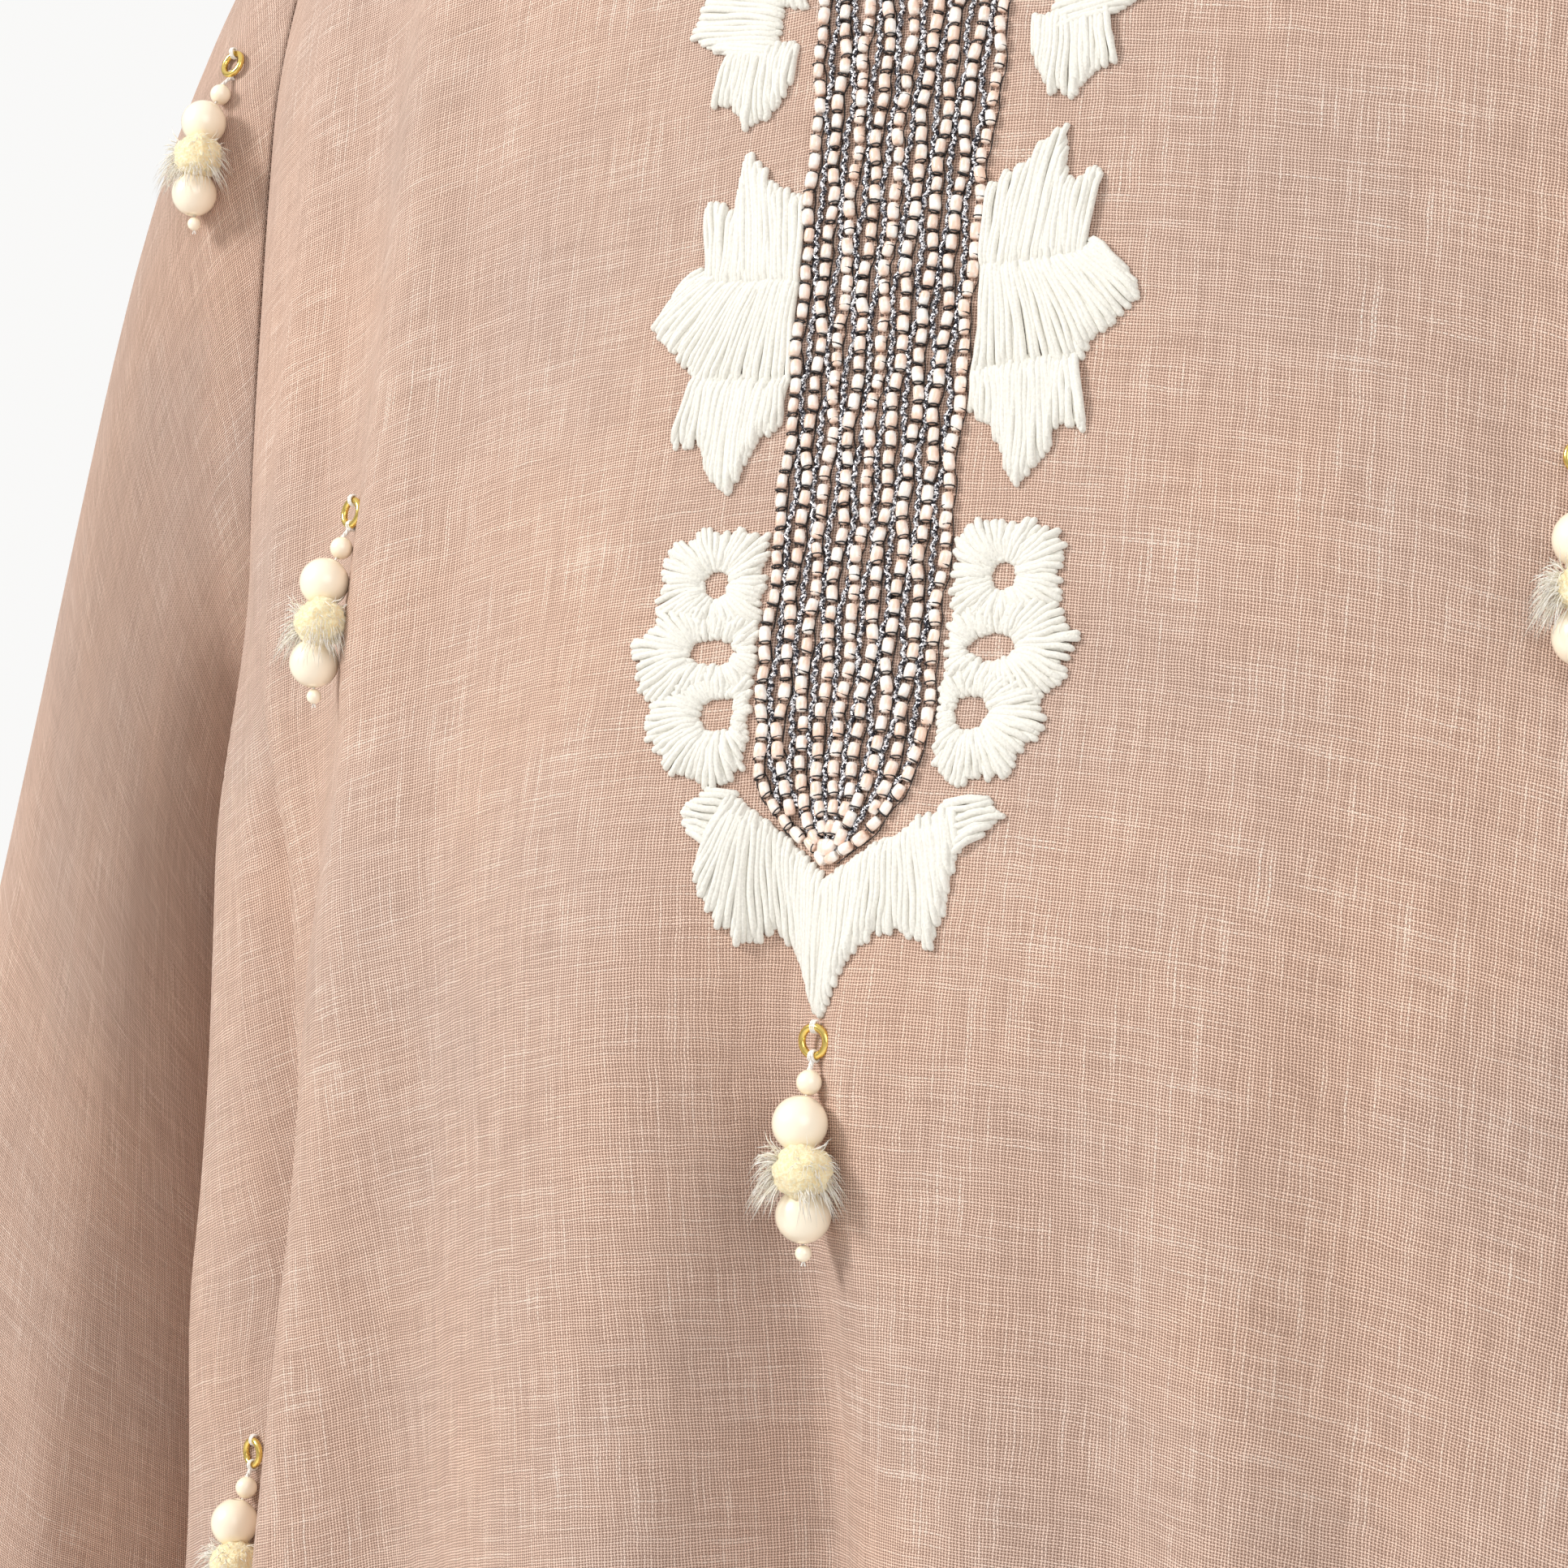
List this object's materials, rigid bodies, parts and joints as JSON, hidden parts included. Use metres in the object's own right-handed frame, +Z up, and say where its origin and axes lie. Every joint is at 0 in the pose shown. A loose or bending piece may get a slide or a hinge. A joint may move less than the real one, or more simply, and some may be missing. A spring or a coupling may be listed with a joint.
{
  "type": "jalabiya",
  "caption": "Loose ankle-length linen jalabiya with a beaded and corded neck band, white wool embroidery and hanging pearl pendants.",
  "frame": {"origin": "between the shoulders, at the height where the shoulder seams meet the neck, which is where the wearer holds it", "axes": "+Z up, the front faces -Y, +X towards the wearer's left"},
  "size_m": [0.7018, 0.4514, 1.4003],
  "materials": {
    "linen": "matt plain weave with slubs",
    "beads": "satin beads and glitter cords",
    "wool": "matt",
    "gold": "polished gold",
    "pearl": "pearl lustre",
    "pompom": "silky"
  },
  "bodies": {
    "garment": {"front": "linen", "back": "linen", "sleeve_right": "linen", "sleeve_left": "linen", "bead_band": "beads", "motif_top_right": "wool", "motif_leaf_right": "wool", "motif_petals_right": "wool", "motif_top_left": "wool", "motif_leaf_left": "wool", "motif_petals_left": "wool", "motif_crown": "wool"},
    "pendant_centre": {"pendant_centre_ring": "gold", "pendant_centre_small_pearl": "pearl", "pendant_centre_upper_pearl": "pearl", "pendant_centre_pompom": "pompom", "pendant_centre_lower_pearl": "pearl", "pendant_centre_tiny_pearl": "pearl"},
    "pendant_chest_left": {"pendant_chest_left_ring": "gold", "pendant_chest_left_small_pearl": "pearl", "pendant_chest_left_upper_pearl": "pearl", "pendant_chest_left_pompom": "pompom", "pendant_chest_left_lower_pearl": "pearl", "pendant_chest_left_tiny_pearl": "pearl"},
    "pendant_chest_right": {"pendant_chest_right_ring": "gold", "pendant_chest_right_small_pearl": "pearl", "pendant_chest_right_upper_pearl": "pearl", "pendant_chest_right_pompom": "pompom", "pendant_chest_right_lower_pearl": "pearl", "pendant_chest_right_tiny_pearl": "pearl"},
    "pendant_side_left": {"pendant_side_left_ring": "gold", "pendant_side_left_small_pearl": "pearl", "pendant_side_left_upper_pearl": "pearl", "pendant_side_left_pompom": "pompom", "pendant_side_left_lower_pearl": "pearl", "pendant_side_left_tiny_pearl": "pearl"},
    "pendant_side_right": {"pendant_side_right_ring": "gold", "pendant_side_right_small_pearl": "pearl", "pendant_side_right_upper_pearl": "pearl", "pendant_side_right_pompom": "pompom", "pendant_side_right_lower_pearl": "pearl", "pendant_side_right_tiny_pearl": "pearl"},
    "pendant_sleeve_left": {"pendant_sleeve_left_ring": "gold", "pendant_sleeve_left_small_pearl": "pearl", "pendant_sleeve_left_upper_pearl": "pearl", "pendant_sleeve_left_pompom": "pompom", "pendant_sleeve_left_lower_pearl": "pearl", "pendant_sleeve_left_tiny_pearl": "pearl"},
    "pendant_sleeve_right": {"pendant_sleeve_right_ring": "gold", "pendant_sleeve_right_small_pearl": "pearl", "pendant_sleeve_right_upper_pearl": "pearl", "pendant_sleeve_right_pompom": "pompom", "pendant_sleeve_right_lower_pearl": "pearl", "pendant_sleeve_right_tiny_pearl": "pearl"}
  },
  "joints": [
    {"name": "pendant_centre_swing", "type": "hinge", "parent": "garment", "child": "pendant_centre", "pos_m": [-0.0001, -0.13283, -0.3128], "axis": [-0.9955, 0.0952, 0], "range_deg": [0, 75]},
    {"name": "pendant_chest_left_swing", "type": "hinge", "parent": "garment", "child": "pendant_chest_left", "pos_m": [0.12834, -0.09801, -0.2128], "axis": [-0.9518, -0.3067, 0], "range_deg": [0, 75]},
    {"name": "pendant_chest_right_swing", "type": "hinge", "parent": "garment", "child": "pendant_chest_right", "pos_m": [-0.12836, -0.09812, -0.2128], "axis": [-0.9459, 0.3244, 0], "range_deg": [0, 75]},
    {"name": "pendant_side_left_swing", "type": "hinge", "parent": "garment", "child": "pendant_side_left", "pos_m": [0.17253, -0.08723, -0.408], "axis": [-0.7135, -0.7007, 0], "range_deg": [0, 75]},
    {"name": "pendant_side_right_swing", "type": "hinge", "parent": "garment", "child": "pendant_side_right", "pos_m": [-0.16686, -0.08241, -0.408], "axis": [-0.9427, 0.3336, 0], "range_deg": [0, 75]},
    {"name": "pendant_sleeve_left_swing", "type": "hinge", "parent": "garment", "child": "pendant_sleeve_left", "pos_m": [0.20569, -0.04047, -0.10568], "axis": [-0.9896, -0.1437, 0], "range_deg": [0, 75]},
    {"name": "pendant_sleeve_right_swing", "type": "hinge", "parent": "garment", "child": "pendant_sleeve_right", "pos_m": [-0.20569, -0.04047, -0.10568], "axis": [-0.9896, 0.1437, 0], "range_deg": [0, 75]}
  ]
}
